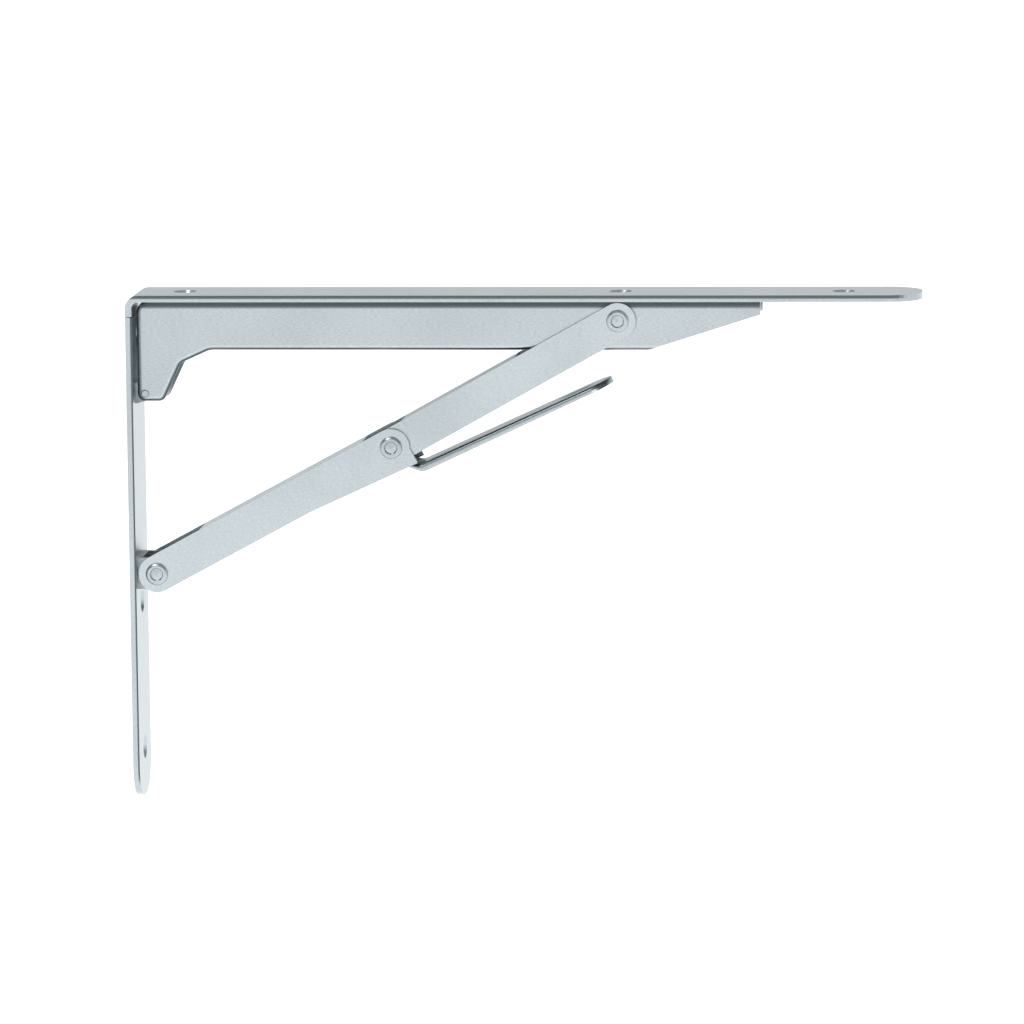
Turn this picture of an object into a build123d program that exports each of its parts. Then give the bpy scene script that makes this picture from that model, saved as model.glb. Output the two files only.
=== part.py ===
"""Folding shelf bracket in zinc-plated steel strip.

X points away from the wall, Y runs along the wall and Z is up.  The origin lies on the wall
plane, in the middle of the strip's width, level with the brace's lower pivot.
"""

from build123d import *
from math import atan2, cos, degrees, hypot, radians, sin, tan
import os

os.makedirs("parts", exist_ok=True)

# Strips
strip_width = 30.0
strip_thickness = 2.5
shelf_length = 300.0
wall_height = 193.0
shelf_top = 106.5              # top of the shelf strip above the brace's lower pivot
corner_radius = 5.0            # outer radius of the lip bent over the top of the wall strip
lip_depth = 8.0
lip_gap = 0.3                  # between the lip and the wall strip
shelf_end_radius = 13.0
wall_end_radius = 13.0

# Screw holes
screw_hole_radius = 2.6
countersink_radius = 4.5
wall_hole_depths = (17.0, 118.5, 175.0)       # down from the shelf's top face
shelf_hole_reaches = (21.0, 186.5, 270.5)     # out from the wall plane
driver_hole_radius = 4.8                      # in the carrier, round the screws above it

# Sheet parts and their fits
sheet = 1.5
side_gap = 0.3                 # between two sheets that pass each other
rivet_radius = 2.4
running_gap = 0.05
head_radius = 4.2
head_height = 1.3
head_gap = 0.1                 # under a head that a link turns beneath

# Carrier under the shelf strip
carrier_half_width = 8.4
carrier_reach = 239.5
carrier_depth = 19.0           # below the shelf strip
carrier_tip_depth = 5.5
carrier_taper_start = 197.0
carrier_heel_depth = 38.5
carrier_wall_gap = 0.7
heel_length = 10.0             # along the bottom of the heel
heel_slope_reach = 31.0
hinge_pin_radius = 1.5
hinge_eye_radius = 3.0
lug_base_height = 16.0

# Brace
wall_pivot_reach = 10.0
lower_eye_radius = 7.0
upper_eye_radius = 6.8
middle_reach, middle_rise = 100.0, 48.5       # middle pivot, from the origin
shelf_pivot_reach, shelf_pivot_drop = 186.0, 10.2
lower_web_start = 22.0
lower_web_end_gap = 9.0
upper_web_start = 8.0
upper_web_end_gap = 41.0
lug_eye_radius = 5.8
brace_lug_height = 12.0

# Release lever
lever_drop = 8.0               # middle pivot down to the lever's top face
lever_angle = 3.7              # lever dips this much against the lower link
lever_reach = 87.0             # beyond the middle pivot
cheek_nose = 6.0

# Places worked out from the sizes above
shelf_under = shelf_top - strip_thickness
wall_top = shelf_top - lip_depth - lip_gap
wall_bottom = shelf_top - wall_height
hinge_x = strip_thickness + carrier_wall_gap + hinge_eye_radius
heel_bottom = shelf_under - carrier_heel_depth
hinge_z = heel_bottom + hinge_eye_radius
shelf_pivot_z = shelf_top - shelf_pivot_drop
carrier_left = strip_thickness + carrier_wall_gap
upper_inner = carrier_half_width + side_gap
upper_outer = upper_inner + sheet
lower_inner = upper_outer + side_gap
lower_outer = lower_inner + sheet
lower_length = hypot(middle_reach - wall_pivot_reach, middle_rise)
lower_angle = atan2(middle_rise, middle_reach - wall_pivot_reach)
upper_run = shelf_pivot_reach - middle_reach
upper_rise = shelf_pivot_z - middle_rise
upper_length = hypot(upper_run, upper_rise)
upper_angle = atan2(upper_rise, upper_run)
hole_radius = rivet_radius + running_gap
shelf_face = Plane.XY.offset(shelf_top)
wall_face = Plane.YZ.offset(strip_thickness)


def link_plane(x, z, angle):
    """A side plane at a pivot, its x axis along the link and its y axis to the link's back."""
    return Plane(origin=(x, 0, z), x_dir=(cos(angle), 0, sin(angle)), z_dir=(0, -1, 0))


def rivet(x, z, half_length, shank_radius):
    """A tubular rivet along Y, with a rolled, dished head at each end."""
    with BuildPart() as pin:
        with BuildSketch(Plane.XY):
            with BuildLine():
                outer = half_length + head_height
                Polyline((0, 0), (shank_radius, 0), (shank_radius, half_length),
                         (head_radius, half_length), (head_radius, half_length + head_height * 0.35))
                RadiusArc((head_radius, half_length + head_height * 0.35),
                          (head_radius * 0.78, outer), -head_height * 1.4)
                Polyline((head_radius * 0.78, outer), (head_radius * 0.6, outer),
                         (head_radius * 0.5, outer - head_height * 0.5),
                         (0, outer - head_height * 0.35), (0, 0))
            make_face()
        revolve(axis=Axis.Y)
        mirror(about=Plane.XZ)
    return Location((x, 0, z)) * pin.part


def cross_bores(plane, spots, radius, reach):
    """Round cutters along Y for a folded part, at spots given in the plane's own axes."""
    with BuildPart() as cutters:
        with BuildSketch(plane):
            with Locations(*spots):
                Circle(radius)
        extrude(amount=reach, both=True)
    return cutters.part


# Wall arm: the upright strip, rounded at its foot, countersunk from the front
with BuildPart() as wall_arm:
    with BuildSketch(Plane.YZ):
        with BuildLine():
            half = strip_width / 2
            Polyline((-half, wall_bottom), (-half, wall_top), (half, wall_top),
                     (half, wall_bottom), close=True)
        make_face()
        fillet(vertices().group_by(Axis.Y)[0], wall_end_radius)
    extrude(amount=strip_thickness)
    with Locations(*[wall_face.shift_origin((strip_thickness, 0, shelf_top - depth))
                     for depth in wall_hole_depths]):
        CounterSinkHole(screw_hole_radius, countersink_radius)

# Shelf arm: the top strip, with the lip that closes over the wall strip
with BuildPart() as shelf_arm:
    with BuildSketch(Plane.XZ):
        with BuildLine():
            Polyline((0, shelf_top), (shelf_length, shelf_top), (shelf_length, shelf_under),
                     (strip_thickness, shelf_under), (strip_thickness, shelf_top - lip_depth),
                     (0, shelf_top - lip_depth), close=True)
        make_face()
    extrude(amount=strip_width / 2, both=True)
    bend = edges().filter_by(Axis.Y)
    fillet(bend.filter_by_position(Axis.X, -0.01, 0.01).sort_by(Axis.Z)[-1], corner_radius)
    inner = edges().filter_by(Axis.Y).filter_by_position(Axis.X, strip_thickness - 0.01,
                                                         strip_thickness + 0.01)
    fillet(inner.sort_by(Axis.Z)[-1], corner_radius - strip_thickness)
    fillet(edges().filter_by(Axis.Z).group_by(Axis.X)[-1], shelf_end_radius)
    with Locations(*[shelf_face.shift_origin((reach, 0, shelf_top)) for reach in shelf_hole_reaches]):
        CounterSinkHole(screw_hole_radius, countersink_radius)

# Carrier: a folded channel under the shelf strip, with a deep heel at the wall
with BuildPart() as carrier:
    with BuildSketch(Plane.XZ):
        with BuildLine():
            carrier_bottom = shelf_under - carrier_depth
            Polyline((carrier_left, shelf_under), (carrier_reach, shelf_under),
                     (carrier_reach, shelf_under - carrier_tip_depth),
                     (carrier_taper_start, carrier_bottom), (heel_slope_reach, carrier_bottom),
                     (heel_slope_reach - 11.0, carrier_bottom - 5.0),
                     (carrier_left + heel_length, heel_bottom),
                     (carrier_left, heel_bottom), close=True)
        make_face()
        fillet(vertices().group_by(Axis.X)[0].sort_by(Axis.Y)[0], hinge_eye_radius)
        fillet(vertices().sort_by_distance((heel_slope_reach, carrier_bottom))[0], 7.0)
        fillet(vertices().sort_by_distance((heel_slope_reach - 11.0, carrier_bottom - 5.0))[0], 4.0)
        fillet(vertices().sort_by_distance((carrier_left + heel_length, heel_bottom))[0], 3.0)
        fillet(vertices().sort_by_distance((carrier_left, shelf_under))[0], corner_radius)
    extrude(amount=carrier_half_width, both=True)
    fillet(faces().sort_by(Axis.Z)[-1].edges().filter_by(Axis.X), sheet + 0.5)
    with BuildSketch(Plane.XZ):
        with BuildLine():
            Polyline((carrier_left - 1, heel_bottom - 1), (carrier_left - 1, shelf_under - sheet),
                     (carrier_reach + 1, shelf_under - sheet), (carrier_reach + 1, heel_bottom - 1),
                     close=True)
        make_face()
    extrude(amount=carrier_half_width - sheet, both=True, mode=Mode.SUBTRACT)
    add(cross_bores(Plane.XZ, [(hinge_x, hinge_z)], hinge_pin_radius + running_gap, carrier_half_width + 1),
        mode=Mode.SUBTRACT)
    add(cross_bores(Plane.XZ, [(shelf_pivot_reach, shelf_pivot_z)], hole_radius, carrier_half_width + 1),
        mode=Mode.SUBTRACT)
    with BuildSketch(shelf_face):
        with Locations(*[(reach, 0) for reach in shelf_hole_reaches if reach < carrier_reach]):
            Circle(driver_hole_radius)
    extrude(amount=-(strip_thickness + sheet + 1), mode=Mode.SUBTRACT)


def clevis(x, z, eye_radius, height, half_width, bore):
    """A folded clip welded to the wall strip, its two ears round a pivot."""
    with BuildPart() as clip:
        with BuildSketch(Plane.XZ):
            with Locations((x, z)):
                Circle(eye_radius)
            with BuildLine():
                Polyline((strip_thickness, z - height / 2), (strip_thickness, z + height / 2),
                         (x, z + eye_radius), (x, z - eye_radius), close=True)
            make_face()
        extrude(amount=half_width, both=True)
        with BuildSketch(Plane.XZ):
            with Locations((strip_thickness + sheet + 3 * eye_radius, z)):
                Rectangle(6 * eye_radius, height + 2)
        extrude(amount=half_width - sheet, both=True, mode=Mode.SUBTRACT)
        add(cross_bores(Plane.XZ, [(x, z)], bore, half_width + 1),
            mode=Mode.SUBTRACT)
    return clip.part


brace_lug = clevis(wall_pivot_reach, 0, lug_eye_radius, brace_lug_height,
                   lower_inner - side_gap, hole_radius)
hinge_lug = clevis(hinge_x, hinge_z, hinge_eye_radius, lug_base_height / 2,
                   carrier_half_width - sheet - side_gap, hinge_pin_radius + running_gap)

# Hinge pin of the shelf arm, peened flush with the carrier
with BuildPart() as hinge_pin:
    with BuildSketch(Plane.XZ):
        with Locations((hinge_x, hinge_z)):
            Circle(hinge_pin_radius)
    extrude(amount=carrier_half_width + side_gap, both=True)
    chamfer(edges(), side_gap)

# Lower link: an inverted channel, its cheeks deepened where they hold the lever
lower_plane = link_plane(wall_pivot_reach, 0, lower_angle)
lever_bottom = lever_drop + sheet
dip = tan(radians(lever_angle))
cheek_start = lower_length - (lever_bottom - lower_eye_radius) / dip
with BuildPart() as lower_link:
    with BuildSketch(lower_plane):
        with Locations((lower_length / 2, 0)):
            SlotCenterToCenter(lower_length, 2 * lower_eye_radius)
        with BuildLine():
            Polyline((cheek_start, -lower_eye_radius), (lower_length + cheek_nose,
                     -lever_bottom - cheek_nose * dip), (lower_length + cheek_nose, -2.0),
                     (cheek_start, 0), close=True)
        make_face()
    extrude(amount=lower_outer, both=True)
    with BuildSketch(lower_plane):
        with Locations((lower_length / 2, -lower_eye_radius - sheet)):
            Rectangle(lower_length + 40, 4 * lower_eye_radius)
        with Locations((lower_web_start - 20, 0)):
            Rectangle(40, 40)
        with Locations((lower_length - lower_web_end_gap + 20, 0)):
            Rectangle(40, 40)
    extrude(amount=lower_inner, both=True, mode=Mode.SUBTRACT)
    add(cross_bores(lower_plane, [(0, 0), (lower_length, 0)], hole_radius, lower_outer + 1),
        mode=Mode.SUBTRACT)

# Lever: a flat strip between the cheeks, rounded at its free end
lever_origin = lower_plane.from_local_coords((lower_length, -lever_drop, 0))
lever_heading = lower_angle - radians(lever_angle)
lever_plane = Plane(origin=lever_origin, x_dir=(cos(lever_heading), 0, sin(lever_heading)),
                    z_dir=(-sin(lever_heading), 0, cos(lever_heading)))
lever_tail = lower_length - cheek_start - 2.0
with BuildPart() as lever:
    with BuildSketch(lever_plane):
        with Locations(((lever_reach - lever_tail) / 2, 0)):
            Rectangle(lever_reach + lever_tail, 2 * lower_inner)
        fillet(vertices().group_by(Axis.X)[-1], lower_inner - 1.0)
    extrude(amount=-sheet)

# Upper link: a narrower channel inside the lower one at the middle, outside the carrier above
upper_plane = link_plane(middle_reach, middle_rise, upper_angle)
with BuildPart() as upper_link:
    with BuildSketch(upper_plane):
        with Locations((upper_length / 2, 0)):
            SlotCenterToCenter(upper_length, 2 * upper_eye_radius)
    extrude(amount=upper_outer, both=True)
    with BuildSketch(upper_plane):
        with Locations((upper_length / 2, -upper_eye_radius - sheet)):
            Rectangle(upper_length + 40, 4 * upper_eye_radius)
        with Locations((upper_web_start - 20, 0)):
            Rectangle(40, 40)
        with Locations((upper_length - upper_web_end_gap + 40, 0)):
            Rectangle(80, 40)
    extrude(amount=upper_inner, both=True, mode=Mode.SUBTRACT)
    add(cross_bores(upper_plane, [(0, 0)], hole_radius, upper_outer + 1),
        mode=Mode.SUBTRACT)

# Rivets
wall_pivot_rivet = rivet(wall_pivot_reach, 0, lower_outer + head_gap, rivet_radius)
middle_pivot_rivet = rivet(middle_reach, middle_rise, lower_outer, rivet_radius)
with BuildPart() as shelf_pivot_pin:
    with BuildSketch(Plane.XZ):
        with Locations((shelf_pivot_reach, shelf_pivot_z)):
            Circle(rivet_radius)
    extrude(amount=carrier_half_width, both=True)
with BuildPart() as between_ears:
    Box(shelf_length, 2 * upper_outer, wall_height)
shelf_pivot_heads = (rivet(shelf_pivot_reach, shelf_pivot_z, upper_outer, rivet_radius)
                     - Location((shelf_pivot_reach, 0, shelf_pivot_z)) * between_ears.part)

pieces = {
    "wall_arm": wall_arm.part, "brace_lug": brace_lug, "hinge_lug": hinge_lug,
    "hinge_pin": hinge_pin.part, "shelf_arm": shelf_arm.part, "carrier": carrier.part,
    "lower_link": lower_link.part, "lever": lever.part, "upper_link": upper_link.part,
    "wall_pivot_rivet": wall_pivot_rivet, "middle_pivot_rivet": middle_pivot_rivet,
    "shelf_pivot_pin": shelf_pivot_pin.part, "shelf_pivot_heads": shelf_pivot_heads,
}
for name, piece in pieces.items():
    piece.label = name
    export_step(piece, f"parts/{name}.step")
print("lower link", round(lower_length, 2), "at", round(degrees(lower_angle), 2))
print("upper link", round(upper_length, 2), "at", round(degrees(upper_angle), 2))
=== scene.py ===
# %% [markdown]
# # Folding shelf bracket
# The bracket is stamped and folded steel with a bright zinc plate. Nearly every shape is already in
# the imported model, so this lesson is mostly about the finish: what zinc on rolled strip looks like,
# how a cut edge differs from a rolled face, and how a room makes metal readable. One piece, the
# release lever, is made again here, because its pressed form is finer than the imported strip.

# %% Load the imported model
import math

import bmesh
import bpy
import numpy as np
from mathutils import Matrix, Vector


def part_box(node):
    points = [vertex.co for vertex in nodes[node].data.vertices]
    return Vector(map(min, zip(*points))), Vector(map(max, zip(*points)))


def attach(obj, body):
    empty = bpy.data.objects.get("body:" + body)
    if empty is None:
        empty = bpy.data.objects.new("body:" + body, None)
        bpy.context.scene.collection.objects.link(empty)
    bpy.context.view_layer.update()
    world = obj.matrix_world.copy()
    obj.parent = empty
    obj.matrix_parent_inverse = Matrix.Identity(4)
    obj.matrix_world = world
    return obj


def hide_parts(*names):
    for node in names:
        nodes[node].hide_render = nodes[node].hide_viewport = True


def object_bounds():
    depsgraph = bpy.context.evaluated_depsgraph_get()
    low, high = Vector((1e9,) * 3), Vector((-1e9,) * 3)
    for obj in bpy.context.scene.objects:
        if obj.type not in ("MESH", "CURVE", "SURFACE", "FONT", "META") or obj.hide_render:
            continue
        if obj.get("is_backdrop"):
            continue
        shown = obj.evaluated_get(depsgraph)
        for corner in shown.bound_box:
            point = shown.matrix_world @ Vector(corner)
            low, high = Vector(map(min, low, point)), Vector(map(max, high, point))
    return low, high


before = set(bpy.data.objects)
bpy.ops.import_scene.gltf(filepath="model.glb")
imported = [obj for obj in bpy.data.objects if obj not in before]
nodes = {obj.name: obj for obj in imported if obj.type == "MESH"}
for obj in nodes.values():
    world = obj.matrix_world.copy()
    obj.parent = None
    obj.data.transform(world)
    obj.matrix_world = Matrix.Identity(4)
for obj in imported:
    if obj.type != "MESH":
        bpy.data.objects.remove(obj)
cad_low, cad_high = (list(corner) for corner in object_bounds())
MM = 0.001
print("nodes", sorted(nodes))

# %% [markdown]
# ## Helpers
# One function turns the hex colours that a designer writes down into the linear values that Blender
# computes with. Another adds a shader node with its settings and links. A Mix node has sockets of
# one name for numbers, vectors and colours, so its colour sockets are picked by their places.

# %% Shader helpers
MIX_A, MIX_B, MIX_RESULT = 6, 7, 2


def linear(code):
    """An sRGB hex colour as linear RGBA: the sRGB curve undone on each channel."""
    channels = np.array([int(code[i:i + 2], 16) for i in (0, 2, 4)]) / 255.0
    low = channels / 12.92
    high = ((channels + 0.055) / 1.055) ** 2.4
    return (*np.where(channels <= 0.04045, low, high).tolist(), 1.0)


def add(tree, kind, settings=None, links=None):
    """Adds a node, sets its properties, ramp stops and socket values, and links its sockets."""
    node = tree.nodes.new(kind)
    for name, value in (settings or {}).items():
        if name == "stops":
            elements = node.color_ramp.elements
            for element, (position, code) in zip(elements, value):
                element.position, element.color = position, linear(code)
            for position, code in value[2:]:
                elements.new(position).color = linear(code)
        elif isinstance(name, str) and hasattr(node, name):
            setattr(node, name, value)
        else:
            node.inputs[name].default_value = value
    for name, source in (links or {}).items():
        tree.links.new(source, node.inputs[name])
    return node


print("mid grey in linear light", round(linear("808080")[0], 3))

# %% [markdown]
# ## Cut edges, and painted shade on the carrier
# A press shears the first part of a strip's thickness clean and bright and tears the rest, which
# stays darker and rougher under the zinc, so a strip's long edge shows as two lines. The same dark
# band is laid along the top of the carrier's cheeks, where the sheet bends in under the strip; there
# it is painted shade, for the shadow under the strip's edge and the dark of the bend.
# It could be a second material on those faces. A mask in the shader leaves the imported mesh alone:
# the side faces are found by their normal, and the band by the height along one axis.

# %% Dark band on side faces
TORN_EDGE_AND_SHADE_COLOUR = "596164"
DARK_BAND_ROUGHER = 0.22
SIDE_FROM, SIDE_WHOLE = 0.8, 0.95          # how squarely a face has to look along Y


def dark_band(tree, place, tone, rough, band):
    """Mixes a dark, rougher band into the side faces, past a height along one axis."""
    axis, start, stop = band
    normal = add(tree, "ShaderNodeNewGeometry").outputs["True Normal"]
    across = add(tree, "ShaderNodeSeparateXYZ", links={"Vector": normal}).outputs["Y"]
    side = add(tree, "ShaderNodeMath", {"operation": "ABSOLUTE"}, {0: across})
    is_side = add(tree, "ShaderNodeMapRange", {"From Min": SIDE_FROM, "From Max": SIDE_WHOLE},
                  {"Value": side.outputs["Value"]})
    height = add(tree, "ShaderNodeSeparateXYZ", links={"Vector": place}).outputs[axis]
    past = add(tree, "ShaderNodeMapRange", {"From Min": start, "From Max": stop},
               {"Value": height})
    mask = add(tree, "ShaderNodeMath", {"operation": "MULTIPLY"},
               {0: is_side.outputs["Result"], 1: past.outputs["Result"]}).outputs["Value"]
    # the dark colour is the torn zone on the strips' edges and painted shade on the carrier's cheeks
    mixed = add(tree, "ShaderNodeMix", {"data_type": "RGBA", MIX_B: linear(TORN_EDGE_AND_SHADE_COLOUR)},
                {"Factor": mask, MIX_A: tone})
    rougher = add(tree, "ShaderNodeMapRange", {"To Min": 0.0, "To Max": DARK_BAND_ROUGHER},
                  {"Value": mask})
    total = add(tree, "ShaderNodeMath", {"operation": "ADD"},
                {0: rough, 1: rougher.outputs["Result"]})
    return mixed.outputs[MIX_RESULT], total.outputs["Value"]


print("torn band", TORN_EDGE_AND_SHADE_COLOUR, "and rougher by", DARK_BAND_ROUGHER)

# %% [markdown]
# ## Folds
# The links and the carrier are channels: two flat cheeks joined by a web, the flat back between
# them. A polished bend sweeps its reflection over the whole room, so it shows thin light and dark
# lines before the web begins. Reflections alone left the line along the links' tops too pale, so
# painted shade is laid into the colour: dark tones over each bend stand in for the dark lines of the
# reflection, and each piece's web gets a darker web colour, darkest on the upper link. One set of
# bend tones serves every fold, which is a compromise: the links' line is still paler than the real
# one, and the lever and the carrier's lower edge come out darker. How far a face has turned from the
# cheek is read from the normal's part along Y, the axis that every pivot turns about, so the tone
# stays on the piece in any pose and doesn't depend on where the camera stands.

# %% Tone across a fold
# painted shade: the web colour up to WEB_UNTIL, then dark tones over the bend for its reflection's
# dark lines
WEB_UNTIL = 0.45
BEND_SHADE_TONES = [(0.60, "8b9396"), (0.86, "9aa2a5"), (0.93, "ffffff")]


def across_fold(tree, tone, web):
    """Multiplies the tone by painted shade: a web colour, then the bend's tones, by the turn from the
    cheek.
    """
    normal = add(tree, "ShaderNodeNewGeometry").outputs["Normal"]
    across = add(tree, "ShaderNodeSeparateXYZ", links={"Vector": normal}).outputs["Y"]
    turn = add(tree, "ShaderNodeMath", {"operation": "ABSOLUTE"}, {0: across})
    zones = add(tree, "ShaderNodeValToRGB", {"stops": [(0.0, web), (WEB_UNTIL, web), *BEND_SHADE_TONES]},
                {"Fac": turn.outputs["Value"]})
    mixed = add(tree, "ShaderNodeMix",
                {"data_type": "RGBA", "blend_type": "MULTIPLY", "Factor": 1.0},
                {MIX_A: tone, MIX_B: zones.outputs["Color"]})
    return mixed.outputs[MIX_RESULT]


print("tones over a bend", len(BEND_SHADE_TONES))

# %% [markdown]
# ## Zinc plate on rolled strip
# Zinc plate is a few microns of cool grey metal, slightly cloudy and glossy enough to show soft
# reflections. The rolled steel beneath gives it fine flecks along each piece, so the pattern is
# turned to the piece's length first. Real rolling lines are some hundredths of a millimetre wide,
# too fine to show here, so the flecks are drawn several times wider. An image of zinc would blur
# close up, while noise stays sharp at any distance.

# %% Bright zinc material
FLECK_WIDTH = 0.30 * MM        # drawn wider than real rolling lines
FLECK_LENGTH = 1.4 * MM        # short, so that the lines read as flecks
CLOUD_SIZE = 45 * MM           # patches where the plate is a little thicker
PIT_SIZE = 0.45 * MM           # the faint orange peel of the plate
FLECK_TONES = [(0.38, "ebeeef"), (0.62, "ffffff")]
CLOUD_FROM, CLOUD_TO = 0.3, 0.7
RELIEF_DEPTH = 0.02 * MM
FLECK_RELIEF, PIT_RELIEF = 0.15, 0.22
ROUGH_SPREAD = 0.03
NOISE_LOW, NOISE_HIGH = 0.25, 0.75         # most of a noise's values lie between these


def zinc(name, tilt, colours, roughness, band=None, web=None):
    """Bright zinc plate, with flecks along a length tilted by an angle about Y."""
    material = bpy.data.materials.new(name)
    material.use_nodes = True
    tree = material.node_tree
    shader = tree.nodes["Principled BSDF"]
    place = add(tree, "ShaderNodeTexCoord").outputs["Object"]
    turned = add(tree, "ShaderNodeMapping", {"Rotation": (0, tilt, 0)}, {"Vector": place})
    stretched = add(tree, "ShaderNodeMapping",
                    {"Scale": (1 / FLECK_LENGTH, 1 / FLECK_WIDTH, 1 / FLECK_WIDTH)},
                    {"Vector": turned.outputs["Vector"]})
    flecks = add(tree, "ShaderNodeTexNoise", {"Scale": 1.0, "Detail": 4.0},
                 {"Vector": stretched.outputs["Vector"]}).outputs["Fac"]
    cloud = add(tree, "ShaderNodeTexNoise", {"Scale": 1 / CLOUD_SIZE, "Detail": 3.0},
                {"Vector": place}).outputs["Fac"]
    pits = add(tree, "ShaderNodeTexNoise", {"Scale": 1 / PIT_SIZE, "Detail": 2.0},
               {"Vector": place}).outputs["Fac"]
    clouded = add(tree, "ShaderNodeValToRGB",
                  {"stops": [(CLOUD_FROM, colours[0]), (CLOUD_TO, colours[1])]}, {"Fac": cloud})
    specks = add(tree, "ShaderNodeValToRGB", {"stops": FLECK_TONES}, {"Fac": flecks})
    tone = add(tree, "ShaderNodeMix",
               {"data_type": "RGBA", "blend_type": "MULTIPLY", "Factor": 1.0},
               {MIX_A: clouded.outputs["Color"],
                MIX_B: specks.outputs["Color"]}).outputs[MIX_RESULT]
    rough = add(tree, "ShaderNodeMapRange",
                {"From Min": NOISE_LOW, "From Max": NOISE_HIGH, "To Min": roughness - ROUGH_SPREAD,
                 "To Max": roughness + ROUGH_SPREAD}, {"Value": cloud}).outputs["Result"]
    if web:
        tone = across_fold(tree, tone, web)
    if band:
        tone, rough = dark_band(tree, place, tone, rough, band)
    fleck_relief = add(tree, "ShaderNodeBump",
                       {"Strength": FLECK_RELIEF, "Distance": RELIEF_DEPTH}, {"Height": flecks})
    relief = add(tree, "ShaderNodeBump", {"Strength": PIT_RELIEF, "Distance": RELIEF_DEPTH},
                 {"Height": pits, "Normal": fleck_relief.outputs["Normal"]})
    tree.links.new(tone, shader.inputs["Base Color"])
    tree.links.new(rough, shader.inputs["Roughness"])
    tree.links.new(relief.outputs["Normal"], shader.inputs["Normal"])
    shader.inputs["Metallic"].default_value = 1.0
    return material


print("flecks", FLECK_WIDTH / MM, "by", FLECK_LENGTH / MM, "mm")

# %% [markdown]
# ## One finish for each kind of stock
# Thick strip, thin folded sheet and turned rivets take the same bath with slightly different
# polish. The clip's darker tones are painted shade, for the shade it sits in, and the web colours of
# the carrier, the links and the lever are the painted shade of the folds. One material would do for
# all of them, but its flecks would run across some of the pieces. The tilt of each link is read from
# its own box, so its flecks follow it.

# %% Give each piece its finish
def lean(name):
    """The angle of a link above the horizontal, from its box's rise over its reach."""
    low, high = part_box(name)
    return math.atan2(high[2] - low[2], high[0] - low[0])


STRIP = 2.5 * MM
UPRIGHT = math.pi / 2
shelf_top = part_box("shelf_arm")[1][2]
carrier_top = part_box("carrier")[1][2]
# each dark band: its axis, where it starts to show and where it is whole
shelf_band = ("Z", shelf_top - 0.62 * STRIP, shelf_top - 0.38 * STRIP)
wall_band = ("X", 0.70 * STRIP, 0.80 * STRIP)
# painted shade: the shadow under the shelf strip's edge and the dark of the carrier's top bend
carrier_shade_band = ("Z", carrier_top - 3.4 * MM, carrier_top - 2.4 * MM)
STRIP_TONES = ("b1b7ba", "bcc2c5")
LINK_TONES = ("b2b8bb", "bec4c7")
# the web colours given below are painted shade on the folds, not a different plating
finishes_and_painted_shade = {
    "shelf_arm": zinc("zinc_on_shelf_strip", 0.0, STRIP_TONES, 0.27, shelf_band),
    "wall_arm": zinc("zinc_on_wall_strip", UPRIGHT, STRIP_TONES, 0.30, wall_band),
    "carrier": zinc("zinc_on_carrier_sheet", 0.0, ("b0b6b9", "bbc1c4"), 0.26,
                    carrier_shade_band, web="a9b1b4"),
    "lower_link": zinc("zinc_on_lower_sheet", lean("lower_link"), LINK_TONES, 0.24,
                       web="dfe3e5"),
    "upper_link": zinc("zinc_on_upper_sheet", lean("upper_link"), LINK_TONES, 0.24,
                       web="7d868a"),
    "lever": zinc("zinc_on_lever_sheet", lean("lever"), STRIP_TONES, 0.30, web="eef1f2"),
}
# the clip's zinc is darker than the strips': painted shade, for the shade the clip sits in
clip_zinc_in_painted_shade = zinc("zinc_on_clip_sheet_in_painted_shade", UPRIGHT, ("8f979a", "a0a7aa"), 0.32)
rivet_finish = zinc("zinc_on_turned_rivet", 0.0, ("aab0b3", "b8bec1"), 0.30)
for name, piece in nodes.items():
    chosen = finishes_and_painted_shade.get(name, clip_zinc_in_painted_shade if "lug" in name else rivet_finish)
    for slot in piece.material_slots:
        slot.material = chosen
    print(name, "->", chosen.name)

# %% [markdown]
# ## Release lever
# Pulling this lever breaks the brace's locked line. The real one is a strip with a rounded tip and
# a shallow pressed groove. Its edges are turned down, which makes thin sheet stiff enough for a
# thumb. It could be modelled by bending a plane, but a section carried along a line needs no
# modifiers.

# %% Section carried along the lever
LEVER_HALF, LEVER_WALL, LEVER_BEND = 10.5 * MM, 1.2 * MM, 1.7 * MM
LEVER_BACK, LEVER_REACH, LEVER_TIP = -4 * MM, 82.4 * MM, 9.0 * MM
FLANGE_ROOT, FLANGE_DEEP, FLANGE_SHALLOW = 1.8 * MM, 3.0 * MM, 2.2 * MM
FLANGE_FROM, FLANGE_FULL = -2 * MM, 5 * MM
JOGGLE_RISE, JOGGLE_END, JOGGLE_LONG = 3.3 * MM, 4 * MM, 6 * MM
GROOVE_AT, GROOVE_LONG, GROOVE_HALF, GROOVE_DEEP = 68 * MM, 8 * MM, 3.2 * MM, 0.7 * MM
TIP_CROWDING = 1.6             # draws the rows together towards the tip, where the form is finest
TIP_LEAST = 0.0004             # leaves a sliver of width at the very tip, as a share squared
LEAST_HALF, LEAST_BEND = 0.1 * MM, 0.3 * MM


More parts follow.
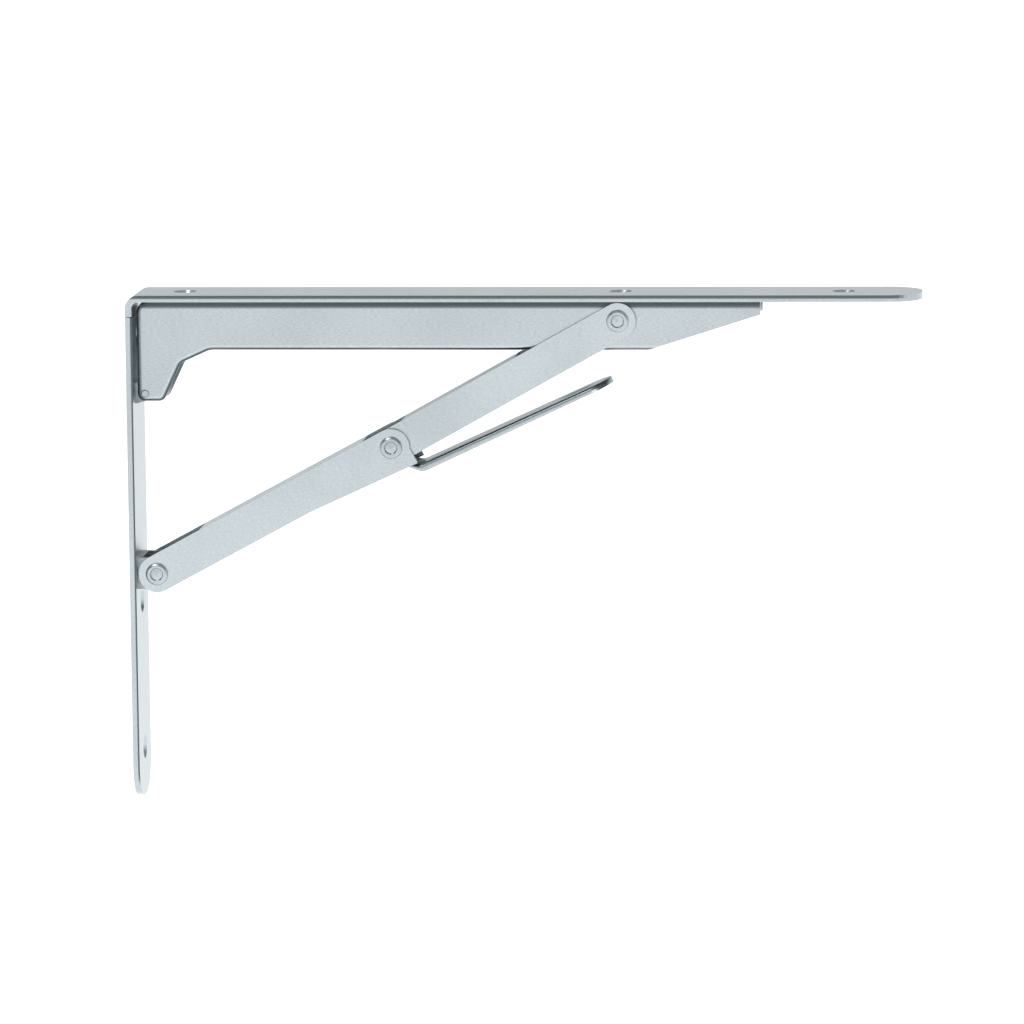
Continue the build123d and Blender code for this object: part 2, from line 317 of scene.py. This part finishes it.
def lever_points(rows=140, arc=7, flat=21):
    """Outer and inner skins, each a grid of rows along the lever and columns across it.

    Across, a row runs up one flange, round a quarter circle, over the flat top and down again.
    Along, the half width is constant and then that of an ellipse, so the flange wraps the tip.
    At the root half a cosine wave lifts the strip between the link's cheeks. The groove lowers the
    top by a flat-topped bump, the exponential of minus the sum of two fourth powers, one of the
    place along and one of the place across.
    """
    share = np.linspace(0.0, 1.0, rows)
    along = LEVER_BACK + (LEVER_REACH - LEVER_BACK) * (1 - (1 - share) ** TIP_CROWDING)
    past = np.clip((along - (LEVER_REACH - LEVER_TIP)) / LEVER_TIP, 0.0, 1.0)
    half = LEVER_HALF * np.sqrt(np.clip(1 - past ** 2, TIP_LEAST, 1.0))
    deep = np.interp(along, [FLANGE_FROM, FLANGE_FULL, LEVER_REACH],
                     [FLANGE_ROOT, FLANGE_DEEP, FLANGE_SHALLOW])
    wave = np.clip((JOGGLE_END - along) / JOGGLE_LONG, 0.0, 1.0)
    rise = JOGGLE_RISE * (1 - np.cos(math.pi * wave)) / 2
    turn = np.linspace(0.0, math.pi / 2, arc)[None, :]
    edge = -deep[:, None]
    skins = []
    for inset in (0.0, LEVER_WALL):
        wide = np.maximum(half - inset, LEAST_HALF)[:, None]
        bend = np.minimum(max(LEVER_BEND - inset, LEAST_BEND), wide)
        side = wide - bend + bend * np.cos(turn)
        level = -inset - bend + bend * np.sin(turn)
        middle = np.linspace(1, -1, flat + 2)[None, 1:-1] * (wide - bend)
        across = np.hstack([wide, side, middle, -side[:, ::-1], -wide])
        height = np.hstack([edge, level, np.full_like(middle, -inset), level[:, ::-1], edge])
        groove = np.exp(-((along[:, None] - GROOVE_AT) / GROOVE_LONG) ** 4
                        - (across / GROOVE_HALF) ** 4)
        height = height - GROOVE_DEEP * groove + rise[:, None]
        skins.append(np.stack([np.broadcast_to(along[:, None], across.shape), across, height], -1))
    return skins


print("lever rows, columns and axes of one skin", lever_points()[0].shape)

# %% [markdown]
# The two skins become one closed mesh: quads over each, then strips that join them along the flange
# edges and at both ends. The points are turned to the lever's slope and set from the middle pivot,
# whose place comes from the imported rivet. Doubles at the narrow tip are merged before the normals
# are made to point outwards.

# %% Lever mesh
LEVER_ANGLE = math.radians(24.4)
LEVER_START = (7.5 * MM, -8.2 * MM)        # from the middle pivot, forwards and up, to along = 0
MERGE_DISTANCE = 0.01 * MM
SHARP_ANGLE = math.radians(35)


def quads(*corners):
    """Four index grids, one for each corner, as rows of four."""
    return np.stack([corner.ravel() for corner in corners], -1)


def lever_mesh(name):
    """Both skins joined along the flange edges and at both ends, as one closed mesh."""
    outer, inner = lever_points()
    rows, columns, _ = outer.shape
    points = np.concatenate([outer.reshape(-1, 3), inner.reshape(-1, 3)])
    grid = np.arange(rows * columns).reshape(rows, columns)
    other = grid + rows * columns
    faces = np.concatenate([
        quads(grid[:-1, :-1], grid[:-1, 1:], grid[1:, 1:], grid[1:, :-1]),
        quads(other[:-1, :-1], other[1:, :-1], other[1:, 1:], other[:-1, 1:]),
        quads(grid[:-1, 0], grid[1:, 0], other[1:, 0], other[:-1, 0]),
        quads(grid[:-1, -1], other[:-1, -1], other[1:, -1], grid[1:, -1]),
        quads(grid[0, :-1], other[0, :-1], other[0, 1:], grid[0, 1:]),
        quads(grid[-1, :-1], grid[-1, 1:], other[-1, 1:], other[-1, :-1]),
    ])
    low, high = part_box("middle_pivot_rivet")
    pivot = ((low[0] + high[0]) / 2, (low[2] + high[2]) / 2)
    turned = points[:, 0] * math.cos(LEVER_ANGLE) - points[:, 2] * math.sin(LEVER_ANGLE)
    raised = points[:, 0] * math.sin(LEVER_ANGLE) + points[:, 2] * math.cos(LEVER_ANGLE)
    placed = np.stack([pivot[0] + LEVER_START[0] + turned, points[:, 1],
                       pivot[1] + LEVER_START[1] + raised], -1)
    mesh = bpy.data.meshes.new(name)
    mesh.from_pydata(placed.tolist(), [], faces.tolist())
    shell = bmesh.new()
    shell.from_mesh(mesh)
    bmesh.ops.remove_doubles(shell, verts=shell.verts, dist=MERGE_DISTANCE)
    bmesh.ops.recalc_face_normals(shell, faces=shell.faces)
    print("lever edges left open", sum(not edge.is_manifold for edge in shell.edges))
    shell.to_mesh(mesh)
    shell.free()
    mesh.shade_smooth()
    mesh.set_sharp_from_angle(angle=SHARP_ANGLE)
    return mesh


thumb_lever = bpy.data.objects.new("thumb_lever", lever_mesh("thumb_lever"))
bpy.context.scene.collection.objects.link(thumb_lever)
thumb_lever.data.materials.append(finishes_and_painted_shade["lever"])
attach(thumb_lever, "lower_brace")
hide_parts("lever")
print("lever faces", len(thumb_lever.data.polygons))

# %% [markdown]
# ## Floor and soft boxes
# Metal shows only what surrounds it. A pale floor that reaches the horizon gives the even grey of
# the flat faces, and two soft boxes add light from above and from the front. The floor gives off
# light of its own, so that it stays white far from the lamps. It lies below the folded bracket,
# which would otherwise sink through it.

# %% Floor and lamps
FLOOR_HALF = 60.0              # metres, so that its edge is out of sight
FOLDED_DROP = 0.22             # the folded bracket reaches about 190 mm below the lower pivot
FLOOR_TONE, FLOOR_ROUGH, FLOOR_GLOW = "f6f6f6", 0.9, 0.84


def lamp(name, offset, size, watts):
    """A square soft box, set off from the bracket's middle and aimed at it."""
    centre = (Vector(cad_low) + Vector(cad_high)) / 2
    light = bpy.data.lights.new(name, "AREA")
    light.shape, light.size, light.energy = "SQUARE", size, watts
    lamp_object = bpy.data.objects.new(name, light)
    facing = (-Vector(offset)).to_track_quat("-Z", "Y")
    lamp_object.matrix_world = (Matrix.Translation(centre + Vector(offset))
                                @ facing.to_matrix().to_4x4())
    bpy.context.scene.collection.objects.link(lamp_object)


floor_mesh = bpy.data.meshes.new("floor")
floor_mesh.from_pydata([(x * FLOOR_HALF, y * FLOOR_HALF, -FOLDED_DROP)
                        for x, y in ((-1, -1), (1, -1), (1, 1), (-1, 1))], [], [(0, 1, 2, 3)])
floor_paint = bpy.data.materials.new("floor")
floor_paint.use_nodes = True
paint = floor_paint.node_tree.nodes["Principled BSDF"]
paint.inputs["Base Color"].default_value = linear(FLOOR_TONE)
paint.inputs["Roughness"].default_value = FLOOR_ROUGH
paint.inputs["Emission Color"].default_value = linear(FLOOR_TONE)
paint.inputs["Emission Strength"].default_value = FLOOR_GLOW
floor_mesh.materials.append(floor_paint)
floor = bpy.data.objects.new("floor", floor_mesh)
bpy.context.scene.collection.objects.link(floor)
floor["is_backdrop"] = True
lamp("key_box", offset=(-0.6, -0.5, 1.3), size=0.5, watts=6)
lamp("low_box", offset=(0.5, -1.5, 0.55), size=0.8, watts=3)
print("floor at", -FOLDED_DROP, "m")

# %% [markdown]
# ## Sky
# The room is what the folds reflect. On the camera's side it is bright low down with a dark band
# half way up. Behind the bracket it is grey at the horizon and bright just above. Overhead it is a
# plain grey, because under a dark ceiling the top of the shelf strip looked nearly black from
# above. Each side has a ramp that follows the height of the direction, and one gives way to the
# other across the middle. Cards on stands could do the same, but they would be in the way of
# cameras at other angles.

# %% Directional sky
SKY_STRENGTH = 1.1
HALFWAY = 0.35                 # the sides blend between minus and plus this part along Y
OVERHEAD = (0.7, "b4babd")
FRONT_STOPS = [(0.0, "ffffff"), (0.32, "f2f5f6"), (0.5, "5c6366"), OVERHEAD]
BEHIND_STOPS = [(0.0, "7c8589"), (0.07, "dfe3e5"), (0.22, "f4f6f7"), (0.45, "9aa1a4"), OVERHEAD]
world = bpy.data.worlds.new("studio")
bpy.context.scene.world = world
world.use_nodes = True
sky = world.node_tree
direction = add(sky, "ShaderNodeTexCoord").outputs["Generated"]
parts = add(sky, "ShaderNodeSeparateXYZ", links={"Vector": direction})
front = add(sky, "ShaderNodeValToRGB", {"stops": FRONT_STOPS}, {"Fac": parts.outputs["Z"]})
behind = add(sky, "ShaderNodeValToRGB", {"stops": BEHIND_STOPS}, {"Fac": parts.outputs["Z"]})
to_back = add(sky, "ShaderNodeMapRange", {"From Min": -HALFWAY, "From Max": HALFWAY},
              {"Value": parts.outputs["Y"]})
room = add(sky, "ShaderNodeMix", {"data_type": "RGBA"},
           {"Factor": to_back.outputs["Result"], MIX_A: front.outputs["Color"],
            MIX_B: behind.outputs["Color"]})
background = sky.nodes["Background"]
sky.links.new(room.outputs[MIX_RESULT], background.inputs["Color"])
background.inputs["Strength"].default_value = SKY_STRENGTH
print("sky stops", len(FRONT_STOPS), "in front and", len(BEHIND_STOPS), "behind")

# %% [markdown]
# ## Camera
# A long lens from a little above and a little to the shelf's end shows a thin slice of the shelf
# strip's top and of the wall strip's front. Its place is worked out from angles and a distance, so
# that each can be changed alone.

# %% Camera
AZIMUTH, ELEVATION, ROLL = (math.radians(angle) for angle in (5.57, 8.05, 0.65))
FOCAL_IN_WIDTHS = 7.03
SENSOR_WIDTH = 36.0
DISTANCE = 2.726
TARGET = Vector((0.1444, 0.0, 0.0224))
look = Vector((-math.sin(AZIMUTH) * math.cos(ELEVATION), math.cos(AZIMUTH) * math.cos(ELEVATION),
               -math.sin(ELEVATION)))
camera_data = bpy.data.cameras.new("camera")
camera_data.sensor_width = SENSOR_WIDTH
camera_data.lens = FOCAL_IN_WIDTHS * SENSOR_WIDTH
camera = bpy.data.objects.new("camera", camera_data)
bpy.context.scene.collection.objects.link(camera)
aim = look.to_track_quat("-Z", "Y").to_matrix().to_4x4() @ Matrix.Rotation(-ROLL, 4, "Z")
camera.matrix_world = Matrix.Translation(TARGET - look * DISTANCE) @ aim
bpy.context.scene.camera = camera
bpy.context.scene.view_settings.view_transform = "Standard"
print("lens", round(camera_data.lens), "mm")
